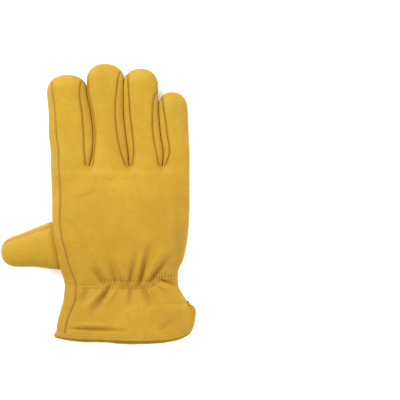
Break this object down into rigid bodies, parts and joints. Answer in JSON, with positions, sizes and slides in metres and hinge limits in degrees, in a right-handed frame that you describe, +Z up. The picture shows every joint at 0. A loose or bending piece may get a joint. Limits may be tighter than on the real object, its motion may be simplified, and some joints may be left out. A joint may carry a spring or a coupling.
{
  "type": "leather gardening glove",
  "caption": "Plain leather gardening glove with a set-in thumb, strips between the fingers, gathered elastic wrist and a bound slip-on cuff with a side vent.",
  "frame": {"origin": "under the middle of the palm, on the plane that the palm rests on, half way between where the fingers part and the gathered wrist", "axes": "+Y towards the fingertips, +Z up out of the back of the hand, the thumb towards -X"},
  "size_m": [0.1749, 0.2517, 0.0227],
  "materials": {
    "back_leather": "golden yellow grain leather, satin",
    "palm_leather": "golden yellow grain leather, satin",
    "fourchette_leather": "golden yellow grain leather, satin",
    "thumb_leather": "golden yellow grain leather, satin",
    "binding_leather": "golden yellow leather strip, folded and stitched",
    "elastic": "woven elastic tape, matt"
  },
  "bodies": {
    "root": {"back_panel": "back_leather", "palm_panel": "palm_leather", "fourchette_index_middle": "fourchette_leather", "fourchette_middle_ring": "fourchette_leather", "fourchette_ring_little": "fourchette_leather", "thumb": "thumb_leather", "cuff_binding": "binding_leather", "wrist_elastic": "elastic"}
  },
  "joints": []
}
